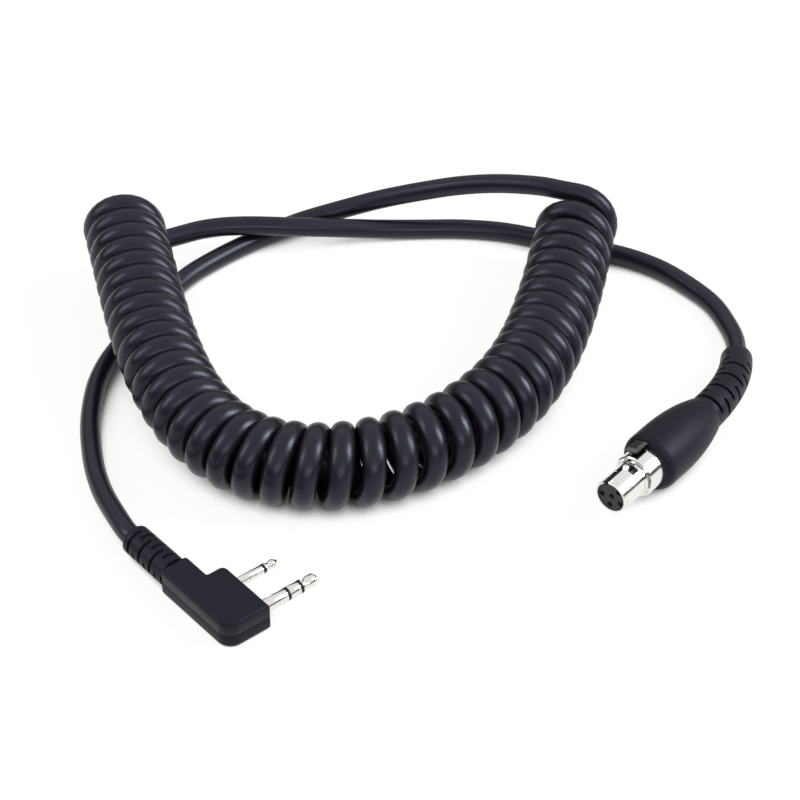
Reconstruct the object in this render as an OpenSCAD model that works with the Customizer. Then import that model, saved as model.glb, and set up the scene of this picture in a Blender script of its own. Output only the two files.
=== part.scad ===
// Coiled adapter cord: a moulded two-pin jack plug and a locking five-contact cable connector,
// joined by a curly cord that lies in a U on a table. Millimetres, +Z up, table at z = 0.
// The origin is on the table, midway between the plug and the connector.

/* [Cord] */
// Diameter of the cord's jacket
cord_d = 5.5; // [4.6:0.1:5.6]
// Outer diameter of the coil
coil_d = 22.9; // [22:0.1:24]
// Turns in the coil
coil_turns = 39.5; // [30.5:1:39.5]
// Height that the coil's left end is raised by the lead it lies on
left_lift = 6; // [5.8:0.05:7]
// Height that the coil's right end is raised by the lead it leans on
right_lift = 4.1; // [3.6:0.1:5]
// Diameter of the insulated cores
core_d = 0.8; // [0.6:0.05:0.9]

/* [Jack pins] */
// Distance between the two pins
pin_spacing = 11; // [10.5:0.5:12]
// Diameter of the large pin
big_pin_d = 3.5; // [3.2:0.1:3.6]
// Length of the large pin outside the plug
big_pin_len = 17.3; // [16.5:0.1:18]
// Diameter of the small pin
small_pin_d = 2.5; // [2.3:0.1:2.6]
// Length of the small pin outside the plug
small_pin_len = 13.2; // [12:0.1:14]
// Distance from the large pin's tip to its front insulator
big_tip_len = 5.9; // [5.4:0.1:6.4]
// Distance from the large pin's tip to its rear insulator
big_ring_len = 9.9; // [9.4:0.1:10.6]
// Distance from the small pin's tip to its insulator
small_tip_len = 4.7; // [4.4:0.1:5.2]
// Width of each insulating ring
insulator_w = 0.8; // [0.5:0.1:1]

/* [Plug moulding] */
// Thickness of the plug
plug_h = 8; // [7.8:0.2:9]
// Width of the head beyond the large pin's axis
head_beyond_big = 3.9; // [3.4:0.1:4.6]
// Width of the head beyond the small pin's axis
head_beyond_small = 4.1; // [3.4:0.1:4.8]
// Depth of the head behind the pin face
head_depth = 13.4; // [12.6:0.1:14.2]
// Width of the arm
arm_w = 8.2; // [8.1:0.1:9]
// Length of the arm beyond the head
arm_len = 8.7; // [8.4:0.1:12]
// Rounding of the moulding's upper and lower edges
edge_r = 1.1; // [0.6:0.1:1.3]
// Wall of the moulding
plug_wall = 1.2; // [1:0.1:1.3]
// Length of the plug's strain relief
plug_boot_len = 16.6; // [15:0.2:20]
// Diameter of the strain relief at the arm
plug_boot_d = 8.3; // [8:0.1:8.4]
// Diameter of the strain relief at the cord
plug_boot_end_d = 8.1; // [7.3:0.1:8.2]

/* [Connector] */
// Outer diameter of the nose
nose_d = 9.3; // [9.2:0.05:9.4]
// Length of the nose in front of the rear shell
nose_len = 10.2; // [10:0.1:12]
// Wall of both metal shells
shell_wall = 0.55; // [0.5:0.05:0.6]
// Outer diameter of the rear shell
rear_shell_d = 11.8; // [11.4:0.1:12]
// Length of the rear shell
rear_shell_len = 17.8; // [17:0.2:18.6]
// Length of rear shell that shows in front of the grip
rear_shell_show = 5.6; // [5.2:0.1:6]
// Widest diameter of the grip
grip_d = 16.2; // [15.8:0.1:17]
// Diameter of the grip at its rear end
grip_tail_d = 10.8; // [10.6:0.1:12]
// Length of the grip
grip_len = 25.9; // [25:0.1:30]
// Diameter of the contact holes in the insert
contact_hole_d = 1.65; // [1.4:0.05:1.7]
// Diameter of the circle of outer contacts
contact_circle_d = 6; // [5.8:0.1:6.2]
// Width of the keyway in the nose
keyway_w = 1.7; // [1.4:0.1:1.8]
// Width of the latch window in the nose
window_w = 3.75; // [3.2:0.05:3.8]
// Length of the latch window in the nose
window_len = 2.2; // [2.1:0.1:2.4]
// Distance of the latch window behind the nose face
window_back = 6.6; // [6.2:0.1:6.6]
// Length of the connector's strain relief along its bend
boot_len = 32; // [28:1:36]
// Angle that the strain relief bends through
boot_bend = 36; // [20:1:42]
// Diameter of the strain relief at the grip
boot_d = 10.1; // [9:0.1:10.4]
// Diameter of the strain relief at the cord
boot_end_d = 8.7; // [8:0.1:9]

/* [Latch] */
// Thickness of the latch lever
lever_t = 0.5; // [0.4:0.05:0.55]
// Width of the latch lever
lever_w = 1.8; // [1.6:0.1:1.9]
// Height that the tooth stands out of the nose
tooth_out = 0.35; // [0.2:0.05:0.4]
// Diameter of the latch pin
latch_pin_d = 1; // [0.8:0.05:1.1]
// Angle that the lever turns when it is pressed
latch_travel = 3; // [2.6:0.1:3.1]
// Length of the release button
button_len = 5; // [4.4:0.1:5.2]
// Width of the release button
button_w = 3.8; // [3.4:0.1:4.4]

/* [Fits] */
// Clearance of metal in moulded seats
seat_fit = 0.05; // [0.03:0.01:0.08]
// Radial running clearance of the lever on its pin
running_fit = 0.05; // [0.02:0.01:0.08]
// Clearance round pieces that are only enclosed
loose_fit = 0.2; // [0.15:0.05:0.25]

/* [Hidden] */
$fn = 64;
X = [1, 0, 0];
Z = [0, 0, 1];
cord_r = cord_d / 2;
cut = 1;

// Places of the two connectors on the table
plug_at = [-50.6, -40.1, 0];
plug_turn = 39.7;
nose_at = [40.64, -7.92, grip_d / 2];
connector_turn = 51;

// Coil axis: control points of a uniform cubic B-spline, seen from above
axis_ctrl = [
    [-104.8, 153.8], [-89.9, 94.2], [-82.7, 59.1], [-69.5, 10.7], [-29.8, -7],
    [14, 19.9], [29.7, 56.8], [37.3, 102.8], [46.9, 150.4],
];
axis_samples = 160;
// Swings of the pitch along the coil, over one half wave of its length, then two, three, four and five
pitch_waves = [-0.028, -0.011, 0.045, 0.09, -0.078];
// Length by which the last turns are drawn apart, and the share of the turns at which that starts
end_spread = 2.5;
end_spread_from = 0.95;
// Shares of the coil's length between which its ends come down to the table
left_flat = [0.2, 0.45];
right_flat = [0.6, 0.95];
rings_per_turn = 8;
coil_sides = 6;
lead_sides = 12;
coil_r = coil_d / 2 - cord_r;
// Step along the coil over which the direction of its axis is taken
axis_step = 0.002;

// Plug, measured from the middle of its pin face: x out along the pins, y towards the cord
pin_z = plug_h / 2;
boot_lift = 0.1;
boot_z = plug_boot_d / 2 + boot_lift;
head_y = [-pin_spacing / 2 - head_beyond_big, pin_spacing / 2 + head_beyond_small];
arm_x = [-head_depth, -head_depth + arm_w];
arm_end = head_y[1] + arm_len;
boot_x = (arm_x[0] + arm_x[1]) / 2;
plug_boot_end = arm_end + plug_boot_len;
// Roundings of the outline's corners, from the rear of the head round to the arm's end
corner_r = [4, 0.5, 1.7, 0.4, 1, 1];
least_corner = 0.1;
corner_steps = 6;
edge_steps = 4;
part_line_w = 0.3;
part_line_depth = 0.12;
frame_wall = 4.6;
frame_rear = -plug_wall - frame_wall;
sleeve_behind = 1;
sleeve_tail = frame_rear - sleeve_behind;
stem_behind = 1.6;
stem_tail = sleeve_tail - stem_behind;
// The seated part of each pin is thicker, and ends flush with the plug's face
collar_out = 0.2;
cavity_wall = plug_wall + 0.4;
cavity_inset = plug_wall + 0.6;
cavity_x = arm_x[0] + cavity_wall;
cavity_z = plug_wall + 0.2;
cord_hold = 3.3;
plug_cord_end = arm_end - cord_hold;
cavity_end = plug_cord_end - plug_wall;
core_reach = 8;
core_approach = 2;
// Straight ends of each core, and its sides and steps
core_straight = 0.5;
core_sides = 8;
core_steps = 8;
// Sideways place of the cores to the large and to the small pin, and their step in height
core_lanes = [-1.6, 1];
core_rise = 1.6;
slot_w = 0.9;
plug_slot_bridge = 4.2;
boot_slot_bridge = 5;
slot_floor = cord_r + 0.75;
plug_slots = 6;
plug_slot_first = 2.6;
plug_slot_step = 2.3;
boot_slots = 8;
boot_slot_first = 2.2;
boot_slot_step = 3.1;
boot_slot_roll = 120;
plug_slot_roll = 40;
boot_chamfer = 0.7;
boot_clear = 0.1;
boot_bore_r = cord_r + boot_clear;

// Jack pins: stem in the middle, insulating neck round it, contacts outside
stem_r = 0.45;
neck_r = 0.8;
neck_inset = 0.4;
contact_gap = 0.02;
// Places on a tip in front of its insulator: end of the land, waist and start of the head
tip_land = 0.35;
tip_waist_at = 1.1;
tip_head_at = 2;
tip_cone = 1.2;
// Shares of the pin's radius at the waist, on the head and at the blunt end
tip_waist = 0.72;
tip_head = 0.97;
tip_end = 0.45;

// Connector, measured from the middle of its nose face: x runs back along its axis
nose_r = nose_d / 2;
nose_bore_r = nose_r - shell_wall;
rear_shell_r = rear_shell_d / 2;
rear_bore_r = rear_shell_r - shell_wall;
rear_shell_end = nose_len + rear_shell_len;
nose_ring = [nose_len - 1.5, nose_len - 0.7];
nose_ring_r = nose_r + 0.35;
shell_chamfer = 0.3;
// Inner lip of the rear shell, set back behind its rim, and the nose's collar behind the lip
lip_x = [nose_len + 0.8, nose_len + 1.4];
nose_collar = [lip_x[1], lip_x[1] + 0.9];
rim_groove = [0.8, 1.05];
rim_groove_depth = 0.1;
insert_front = 0.5;
insert_r = nose_bore_r - seat_fit;
seat_gap = 0.1;
insert_step = nose_collar[1] + seat_gap;
insert_body_len = 6.8;
insert_body_end = insert_step + insert_body_len;
ear_inset = 1;
insert_ears_end = rear_shell_end - ear_inset;
insert_rear_r = rear_bore_r - seat_fit;
grip_front = nose_len + rear_shell_show;
grip_end = grip_front + grip_len;
grip_r = grip_d / 2;
grip_tail_r = grip_tail_d / 2;
// Rounded front of the grip, from the radius of its face out to its widest radius
grip_face_r = grip_r - 1.7;
grip_nose_len = 2.6;
grip_nose_steps = 4;
grip_widest = grip_front + 7;
grip_steps = 12;
grip_taper = 2.36;
clamp_x = [rear_shell_end + 3.5, rear_shell_end + 6.5];
clamp_bore = clamp_x[1] + 0.5;
clamp_r = 4.8;
connector_cord_end = clamp_x[0] - 1;
contact_r = contact_hole_d / 2 - contact_gap;
contact_bore_r = 0.42;
contact_front = insert_front + 2.5;
solder_len = 2.6;
contact_tail = insert_body_end + solder_len;
contact_depth = 9;
contact_angles = [58, 130, 202, 274];
core_circle_r = 1.5;
boot_r = boot_len / (boot_bend * PI / 180);
boot_droop = 22.5;
boot_rings = 12;
boot_sides = 24;

// Latch, in the connector's frame rolled so that its own z is the way the button faces
latch_roll = 15;
key_roll = -7;
key_floor = insert_r - shell_wall - loose_fit;
lever_top = 3.5;
latch_pin_inset = 1.7;
latch_pin_x = insert_ears_end - latch_pin_inset;
latch_pin_z = lever_top - lever_t / 2;
latch_pin_r = latch_pin_d / 2;
latch_pin_len = 5.8;
eye_wall = 0.7;
eye_r = latch_pin_r + eye_wall;
ears_y = latch_pin_len / 2 + seat_gap;
ear_floor_gap = 0.5;
window_x = [window_back, window_back + window_len];
// The tooth is off the lever's middle, and lies near the window's right side
tooth_y = [-1.3, 0.3];
window_side = 0.3;
window_y = [tooth_y[1] + window_side - window_w, tooth_y[1] + window_side];
// Room in the window in front of the tooth and behind it
tooth_room = [0.3, 0.5];
tooth_x = [window_x[0] + tooth_room[0], window_x[1] - tooth_room[1]];
tooth_slope = 0.7;
tooth_top = nose_r + tooth_out;
lever_nose = 0.4;
lever_front = tooth_x[0] - lever_nose;
travel_gap = 0.3;
channel_floor = lever_top - lever_t - (latch_pin_x - lever_front) * sin(latch_travel) - travel_gap;
channel_front = lever_front - 4 * travel_gap;
shank_x = [nose_collar[1] + 0.8, nose_collar[1] + 2.8];
shank_w = lever_w + 0.1;
shank_gap = 0.4;
channel_y = [tooth_y[0] - travel_gap, shank_w / 2 + travel_gap];
button_front = nose_len + 0.8;
button_x = [button_front, button_front + button_len];
button_base = rear_shell_r + (latch_pin_x - button_x[0]) * sin(latch_travel) + travel_gap;
button_top = grip_r - 0.1;
button_round = 0.7;
button_gap = 0.5;
notch_w = button_w + 2 * button_gap;
notch_end = button_x[1] + button_gap;

/* ---- vectors and curves ---- */

function unit(v) = v / norm(v);
function turn(p, a) = [cos(a) * p[0] - sin(a) * p[1], sin(a) * p[0] + cos(a) * p[1], p[2]];
function from_plug(p) = plug_at + turn(p, plug_turn);
function from_nose(p) = nose_at + turn(p, connector_turn);
function smooth(x) = let (c = min(1, max(0, x))) c * c * (3 - 2 * c);
function bezier(p, t) = pow(1 - t, 3) * p[0] + 3 * t * pow(1 - t, 2) * p[1]
    + 3 * t * t * (1 - t) * p[2] + pow(t, 3) * p[3];
function total(d, i = 0) = i < len(d) ? d[i] + total(d, i + 1) : 0;
// Direction of a chain of points at point i
function heading(p, i) = unit(
    (i < len(p) - 1 ? unit(p[i + 1] - p[i]) : [0, 0, 0]) + (i > 0 ? unit(p[i] - p[i - 1]) : [0, 0, 0])
);

/* ---- swept tubes ---- */

// Ring of points round c in the plane of u and v
function ring(c, u, v, r, n) = [for (j = [0 : n - 1]) c + r * (cos(360 * j / n) * u + sin(360 * j / n) * v)];
// Ring square to the direction t, with a point straight below c
function level_ring(c, t, r, n) = let (u = unit(cross(Z, t))) ring(c, u, cross(t, u), r, n);
function lead_rings(p, r, n) = [for (i = [0 : len(p) - 1]) level_ring(p[i], heading(p, i), r, n)];

// Closed skin of triangles through rings with equal counts of points
module skin(rings) {
    n = len(rings[0]);
    last = (len(rings) - 1) * n;
    sides = [
        for (k = [0 : len(rings) - 2], j = [0 : n - 1])
            let (a = k * n + j, b = k * n + (j + 1) % n) each [[a, a + n, b + n], [a, b + n, b]]
    ];
    caps = [for (j = [1 : n - 2]) each [[0, j, j + 1], [last, last + j + 1, last + j]]];
    polyhedron([for (r = rings) each r], concat(sides, caps));
}

// Closed skin of flat-sided layers, whose outlines may have inner corners
module stack(layers) {
    n = len(layers[0]);
    last = (len(layers) - 1) * n;
    sides = [
        for (k = [0 : len(layers) - 2], j = [0 : n - 1])
            let (a = k * n + j, b = k * n + (j + 1) % n) [a, a + n, b + n, b]
    ];
    ends = [[for (j = [0 : n - 1]) j], [for (j = [n - 1 : -1 : 0]) last + j]];
    polyhedron([for (l = layers) each l], concat(sides, ends));
}

/* ---- coil ---- */

axis_spans = len(axis_ctrl) - 3;
function axis_at(u) = let (
    i = min(floor(u), axis_spans - 1),
    f = u - i,
    w = [pow(1 - f, 3), 3 * f * f * f - 6 * f * f + 4, 3 * f * (1 + f - f * f) + 1, f * f * f] / 6,
    p = w[0] * axis_ctrl[i] + w[1] * axis_ctrl[i + 1] + w[2] * axis_ctrl[i + 2] + w[3] * axis_ctrl[i + 3]
) [p[0], p[1], 0];
axis_pts = [for (i = [0 : axis_samples]) axis_at(axis_spans * i / axis_samples)];
function sum_to(d, i = 0, s = 0) = i > len(d)
    ? []
    : concat([s], sum_to(d, i + 1, s + (i < len(d) ? d[i] : 0)));
axis_run = sum_to([for (i = [1 : axis_samples]) norm(axis_pts[i] - axis_pts[i - 1])]);
run_to_span = [for (i = [0 : axis_samples]) [axis_run[i], axis_spans * i / axis_samples]];
coil_len = axis_run[axis_samples] - end_spread;

// Where share t of the turns lies along the axis
function turn_run(t) = coil_len * (
    t + total([
        for (i = [0 : len(pitch_waves) - 1]) pitch_waves[i] * sin(180 * (i + 1) * t) / (PI * (i + 1))
    ])
) + end_spread * smooth((t - end_spread_from) / (1 - end_spread_from));
function axis_height(t) = coil_d / 2
    + left_lift * (1 - smooth((t - left_flat[0]) / (left_flat[1] - left_flat[0])))
    + right_lift * smooth((t - right_flat[0]) / (right_flat[1] - right_flat[0]));
function axis_point(t) = axis_at(lookup(turn_run(t), run_to_span)) + axis_height(t) * Z;
function axis_side(t) = unit(cross(Z, axis_point(min(1, t + axis_step)) - axis_point(max(0, t - axis_step))));
// The turns wind left-handed, from the bottom of the left end to the top of the right end
function phase(t) = -90 - 360 * coil_turns * t;
function outward(t) = cos(phase(t)) * axis_side(t) + sin(phase(t)) * Z;
function coil_point(t) = axis_point(t) + coil_r * outward(t);
coil_step = 1 / (coil_turns * rings_per_turn);
function coil_heading(t) = unit(
    coil_point(min(1, t + coil_step / 100)) - coil_point(max(0, t - coil_step / 100))
);
function coil_ring(c, t) = let (
    h = coil_heading(t),
    u = unit(cross(cross(h, outward(t)), h))
) ring(c, u, cross(h, u), cord_r, coil_sides);
left_out = -coil_heading(0);
right_out = coil_heading(1);
left_exit = coil_point(0) + cord_d * left_out;
right_exit = coil_point(1) + cord_d * right_out;
coil_rings = concat(
    [coil_ring(left_exit, 0)],
    [for (i = [0 : coil_turns * rings_per_turn]) coil_ring(coil_point(i * coil_step), i * coil_step)],
    [coil_ring(right_exit, 1)]
);
// Least distance between points of rings that lie about one turn apart
last_ring = len(coil_rings) - 1;
coil_gap = min([
    for (i = [0 : last_ring], j = [i + rings_per_turn - 2 : min(i + rings_per_turn + 2, last_ring)])
        min([for (a = coil_rings[i], b = coil_rings[j]) norm(a - b)])
]);
echo(str("coil gap to itself ", coil_gap, " mm"));

/* ---- leads ---- */

// Route of the plug's lead: off the top of the coil, down behind it, under its left arm, to the plug
plug_route = [
    [15.5, 111.4, 21.8], [4.5, 114.9, 18.7], [-7, 117.9, 14.5], [-19, 119.9, 10.2], [-30.5, 119.9, 6.5],
    [-42.5, 117.9, 3.6], [-52, 112.4, 2.75], [-58, 107.8, 2.75], [-65, 101.7, 2.75], [-72.5, 93.9, 2.75],
    [-78, 85.4, 2.75], [-83, 75.9, 2.75], [-88.5, 64.4, 2.75], [-92.6, 54.4, 2.75], [-94.8, 45.4, 2.75],
    [-95.5, 35.9, 2.75], [-95.3, 26.9, 2.75], [-94.2, 17.9, 2.75], [-92.5, 8.9, 2.85], [-89.8, -0.1, 3.2],
    [-86.2, -8.5, 3.8],
];
plug_end_route = [
    for (y = [plug_boot_end + cord_r, plug_boot_end, arm_end, plug_cord_end]) from_plug([boot_x, y, boot_z])
];
// Route of the connector's lead: off the bottom of the coil, over the other lead, behind the coil's end
connector_route = [
    [-76, 104.5, 8.6], [-70.3, 107.1, 8.6], [-64.6, 108.5, 8.65], [-58.9, 109, 8.7], [-53.2, 109.1, 8.65],
    [-42.4, 110.1, 7.5], [-30.7, 112.2, 5.6], [-19, 114.5, 3.6], [-7, 115.7, 2.75], [4.5, 115.8, 2.75],
    [16, 114.5, 2.75], [27, 111.2, 2.75], [38.5, 106.5, 2.75], [50, 102.9, 2.75], [60.5, 96.6, 2.75],
    [68.5, 88.4, 2.75], [74.5, 79.9, 2.75], [77.8, 70.9, 2.8], [79.3, 63.1, 3.1],
];

// Middle of the connector's strain relief after turning through angle a
function boot_point(a) = [
    grip_end + boot_r * sin(a),
    boot_r * (1 - cos(a)) * cos(boot_droop),
    -boot_r * (1 - cos(a)) * sin(boot_droop),
];
boot_angles = [for (i = [0 : boot_rings]) boot_bend * i / boot_rings];
boot_turn_in = [for (i = [boot_rings : -3 : 0]) from_nose(boot_point(boot_angles[i]))];
plug_lead_pts = concat([right_exit, right_exit + cord_d * right_out], plug_route, plug_end_route);
connector_lead_pts = concat(
    [left_exit, left_exit + cord_d * left_out],
    connector_route,
    boot_turn_in,
    [from_nose([connector_cord_end, 0, 0])]
);
function run_length(p) = total([for (i = [1 : len(p) - 1]) norm(p[i] - p[i - 1])]);
echo(str("plug lead ", run_length(plug_lead_pts), " mm"));
echo(str("connector lead ", run_length(connector_lead_pts), " mm"));

module coil() {
    color("#26272d") skin(coil_rings);
}

module plug_lead() {
    color("#2b2c33") skin(lead_rings(plug_lead_pts, cord_r, lead_sides));
}

module connector_lead() {
    color("#2b2c33") skin(lead_rings(connector_lead_pts, cord_r, lead_sides));
}

/* ---- plug ---- */

module at_plug() {
    translate(plug_at) rotate([0, 0, plug_turn]) children();
}

// Solid of revolution about x, from points of radius and place along x
module turned(profile) {
    rotate([0, 90, 0]) rotate_extrude() polygon(profile);
}

module rod(x, r) {
    translate([x[0], 0, 0]) rotate([0, 90, 0]) cylinder(h = x[1] - x[0], r = r);
}

module tube(x, r, bore) {
    difference() {
        rod(x, r);
        rod([x[0] - cut, x[1] + cut], bore);
    }
}

module block(x, y, z) {
    translate([x[0], y[0], z[0]]) cube([x[1] - x[0], y[1] - y[0], z[1] - z[0]]);
}

// One core of the cord, leaving it along d and reaching its contact along e, just short of it
module core(from, d, to, e) {
    start = from + core_straight * unit(d);
    tip = to - contact_gap * e;
    end = tip - core_straight * e;
    control = [start, start + core_reach * d, end - core_approach * e, end];
    path = concat([from], [for (i = [0 : core_steps]) bezier(control, i / core_steps)], [tip]);
    skin(lead_rings(path, core_d / 2, core_sides));
}

plug_corners = [
    [arm_x[0], head_y[0]], [0, head_y[0]], [0, head_y[1]],
    [arm_x[1], head_y[1]], [arm_x[1], arm_end], [arm_x[0], arm_end],
];
function edge_normal(p, i) = let (d = p[(i + 1) % len(p)] - p[i]) unit([-d[1], d[0]]);
function inset_corner(p, i, d) = let (
    a = edge_normal(p, (i + len(p) - 1) % len(p)),
    b = edge_normal(p, i)
) p[i] + d * (a + b) / (1 + a * b);
// Outline set in by d, its corners rounded about the centres that they have at full size
function plug_outline(d) = [
    for (i = [0 : len(plug_corners) - 1])
        let (
            a = edge_normal(plug_corners, (i + len(plug_corners) - 1) % len(plug_corners)),
            b = edge_normal(plug_corners, i),
            convex = a[0] * b[1] - a[1] * b[0] > 0,
            r = convex ? max(least_corner, corner_r[i] - d) : -corner_r[i] - d,
            c = inset_corner(plug_corners, i, d + r),
            start = atan2(-a[1], -a[0]),
            sweep = convex ? 90 : -90
        )
        for (k = [0 : corner_steps])
            let (t = start + sweep * k / corner_steps) c + r * [cos(t), sin(t)]
];
function layer(d, z) = [for (p = plug_outline(d)) [p[0], p[1], z]];
plug_layers = concat(
    [for (k = [0 : edge_steps]) let (a = 90 - 90 * k / edge_steps)
        layer(edge_r * (1 - cos(a)), edge_r * (1 - sin(a)))],
    [layer(0, pin_z - part_line_w), layer(part_line_depth, pin_z), layer(0, pin_z + part_line_w)],
    [for (k = [0 : edge_steps]) let (a = 90 * k / edge_steps)
        layer(edge_r * (1 - cos(a)), plug_h - edge_r * (1 - sin(a)))]
);

// Places children at a pin, with x out along it
module at_pin(side) {
    translate([0, side * pin_spacing / 2, pin_z]) children();
}

module cord_line(x, r) {
    translate([boot_x, 0, boot_z]) rotate([0, 0, 90]) rod(x, r);
}

module plug_body() {
    color("#292a31") at_plug() difference() {
        stack(plug_layers);
        block(
            [frame_rear, -plug_wall],
            [head_y[0] + plug_wall, head_y[1] - plug_wall],
            [cavity_z, plug_h - cavity_z]
        );
        block(
            [cavity_x, frame_rear + cut / 2],
            [head_y[0] + cavity_inset, cavity_end],
            [cavity_z, plug_h - cavity_z]
        );
        at_pin(-1) rod([frame_rear, cut], big_pin_d / 2 + collar_out + seat_fit);
        at_pin(1) rod([frame_rear, cut], small_pin_d / 2 + collar_out + seat_fit);
        cord_line([cavity_end - cut, arm_end + cut], boot_bore_r);
    }
}

module pin_frame() {
    color("#3c3c40") at_plug() difference() {
        block(
            [frame_rear + loose_fit, -plug_wall - loose_fit],
            [head_y[0] + plug_wall + loose_fit, head_y[1] - plug_wall - loose_fit],
            [cavity_z + loose_fit, plug_h - cavity_z - loose_fit]
        );
        at_pin(-1) rod([frame_rear, 0], big_pin_d / 2 + collar_out + seat_fit);
        at_pin(1) rod([frame_rear, 0], small_pin_d / 2 + collar_out + seat_fit);
    }
}

// Grooves across a strain relief that leave bridges on two opposite sides
module slot_ring(r, roll, bridge) {
    rotate([roll, 0, 0]) difference() {
        tube([-slot_w / 2, slot_w / 2], r, slot_floor);
        block([-slot_w, slot_w], [-bridge / 2, bridge / 2], [-r - cut, r + cut]);
    }
}

module plug_boot() {
    color("#2a2b31") at_plug() translate([boot_x, 0, boot_z]) rotate([0, 0, 90]) difference() {
        turned([
            [boot_bore_r, arm_end], [plug_boot_d / 2, arm_end],
            [plug_boot_end_d / 2, plug_boot_end - boot_chamfer],
            [plug_boot_end_d / 2 - boot_chamfer, plug_boot_end], [boot_bore_r, plug_boot_end],
        ]);
        for (i = [0 : plug_slots - 1])
            translate([plug_boot_end - plug_slot_first - i * plug_slot_step, 0, 0])
                slot_ring(plug_boot_d / 2 + cut, plug_slot_roll + (i % 2) * 90, plug_slot_bridge);
    }
}

module plug_wires() {
    color("#8d3030") at_plug() for (side = [-1, 1], sleeve = [0, 1]) {
        lane = core_lanes[side < 0 ? 0 : 1];
        rise = (sleeve - 0.5) * core_rise;
        collar_r = (side < 0 ? big_pin_d : small_pin_d) / 2 + collar_out;
        tail = sleeve ? sleeve_tail : stem_tail;
        core(
            [boot_x + lane, plug_cord_end, boot_z + rise],
            [0, -1, 0],
            [tail, side * pin_spacing / 2, pin_z + sleeve * (collar_r - core_d / 2)],
            X
        );
    }
}

// Contact tip of a pin: a stem back through the insulator, then a land, a waist and a blunt head
module jack_tip(r, front, len) {
    base = front - len + insulator_w;
    turned([
        [0, stem_tail], [stem_r, stem_tail], [stem_r, base], [r, base], [r, base + tip_land],
        [tip_waist * r, base + tip_waist_at], [tip_head * r, base + tip_head_at],
        [tip_head * r, front - tip_cone], [tip_end * r, front], [0, front],
    ]);
}

// Contact sleeve of a pin round its insulator, with the collar that is seated in the plug
module jack_sleeve(r, front) {
    difference() {
        union() {
            rod([sleeve_tail, 0], r + collar_out);
            rod([sleeve_tail, front], r);
        }
        rod([sleeve_tail - cut, front + cut], neck_r + contact_gap);
    }
}

// Flange of an insulator between two contacts, on a neck that parts them from the stem
module insulator_profile(r, flanges, front) {
    turned(concat(
        [[stem_r + contact_gap, sleeve_tail + neck_inset], [neck_r, sleeve_tail + neck_inset]],
        [for (x = flanges) each [[neck_r, x], [r, x], [r, x + insulator_w], [neck_r, x + insulator_w]]],
        [[neck_r, front], [stem_r + contact_gap, front]]
    ));
}

module big_jack_sleeve() {
    color("#c9cacc") at_plug() at_pin(-1) jack_sleeve(big_pin_d / 2, big_pin_len - big_ring_len);
}

module big_jack_ring() {
    color("#c9cacc") at_plug() at_pin(-1)
        tube(
            [big_pin_len - big_ring_len + insulator_w, big_pin_len - big_tip_len],
            big_pin_d / 2, neck_r + contact_gap
        );
}

module big_jack_tip() {
    color("#c9cacc") at_plug() at_pin(-1) jack_tip(big_pin_d / 2, big_pin_len, big_tip_len);
}

module big_jack_insulators() {
    front = big_pin_len - big_tip_len;
    color("#17171a") at_plug() at_pin(-1)
        insulator_profile(big_pin_d / 2, [big_pin_len - big_ring_len, front], front + insulator_w);
}

module small_jack_sleeve() {
    color("#c9cacc") at_plug() at_pin(1) jack_sleeve(small_pin_d / 2, small_pin_len - small_tip_len);
}

module small_jack_tip() {
    color("#c9cacc") at_plug() at_pin(1) jack_tip(small_pin_d / 2, small_pin_len, small_tip_len);
}

module small_jack_insulator() {
    front = small_pin_len - small_tip_len;
    color("#17171a") at_plug() at_pin(1)
        insulator_profile(small_pin_d / 2, [front], front + insulator_w);
}

/* ---- connector ---- */

module at_connector() {
    translate(nose_at) rotate([0, 0, connector_turn]) children();
}

module at_latch() {
    at_connector() rotate([-latch_roll, 0, 0]) children();
}

module at_key() {
    at_latch() rotate([key_roll, 0, 0]) children();
}

module nose_shell() {
    color("#d4d5d6") difference() {
        at_connector() turned([
            [nose_bore_r, 0], [nose_r - rim_groove_depth, 0], [nose_r, rim_groove_depth],
            [nose_r, rim_groove[0]], [nose_r - rim_groove_depth, rim_groove[0]],
            [nose_r - rim_groove_depth, rim_groove[1]], [nose_r, rim_groove[1]],
            [nose_r, nose_ring[0]], [nose_ring_r, nose_ring[0]], [nose_ring_r, nose_ring[1]],
            [nose_r, nose_ring[1]], [nose_r, nose_collar[0] + seat_fit],
            [rear_bore_r - seat_fit, nose_collar[0] + seat_fit],
            [rear_bore_r - seat_fit, nose_collar[1]], [nose_bore_r, nose_collar[1]],
        ]);
        at_key()
            block([-cut, window_x[0] + cut], [-keyway_w / 2, keyway_w / 2], [nose_bore_r / 2, nose_r + cut]);
        at_latch() block(window_x, window_y, [nose_bore_r / 2, nose_r + cut]);
    }
}

module rear_shell() {
    color("#cfd0d2") difference() {
        at_connector() turned([
            [rear_bore_r, nose_len], [rear_shell_r - shell_chamfer, nose_len],
            [rear_shell_r, nose_len + shell_chamfer],
            [rear_shell_r, rear_shell_end], [rear_bore_r, rear_shell_end],
            [rear_bore_r, lip_x[1]], [nose_r + seat_fit, lip_x[1]],
            [nose_r + seat_fit, lip_x[0]], [rear_bore_r, lip_x[0]],
        ]);
        at_latch() block(
            [shank_x[0] - shank_gap, shank_x[1] + shank_gap],
            [-shank_w / 2 - shank_gap, shank_w / 2 + shank_gap],
            [rear_bore_r / 2, rear_shell_r + cut]
        );
    }
}

// Children at the middle and round the circle of contacts, the keyway being the gap in the circle
module each_contact() {
    children();
    for (a = contact_angles) rotate([a, 0, 0]) translate([0, 0, contact_circle_d / 2]) children();
}

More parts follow.
